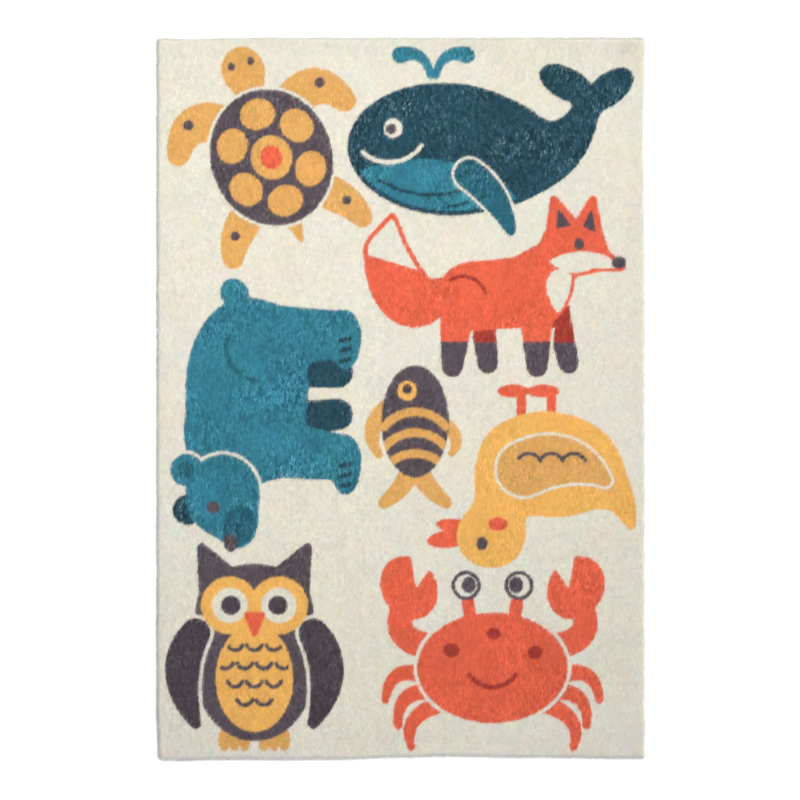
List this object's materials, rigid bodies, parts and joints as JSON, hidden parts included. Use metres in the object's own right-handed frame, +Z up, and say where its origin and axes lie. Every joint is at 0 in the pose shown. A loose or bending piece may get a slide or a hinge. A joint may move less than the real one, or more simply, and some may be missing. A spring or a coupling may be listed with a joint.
{
  "type": "kids play rug",
  "caption": "Oblong kids play rug lying flat, with short dense pile, softly rolled rims and a plain flat ground cloth below.",
  "frame": {"origin": "on the surface that the rug lies on, under the middle of the rug's outline", "axes": "+X across the rug to the right of the picture, +Y along the rug towards the top of the picture, +Z up out of the pile"},
  "size_m": [1.0008, 1.4794, 0.0118],
  "materials": {
    "printed_pile": "soft matte brushed plush on a cream ground, printed in petrol blue, teal, ochre, orange red and plum",
    "ground_cloth": "plain matte woven cloth, undyed"
  },
  "bodies": {
    "root": {"rug": "printed_pile"}
  },
  "joints": []
}
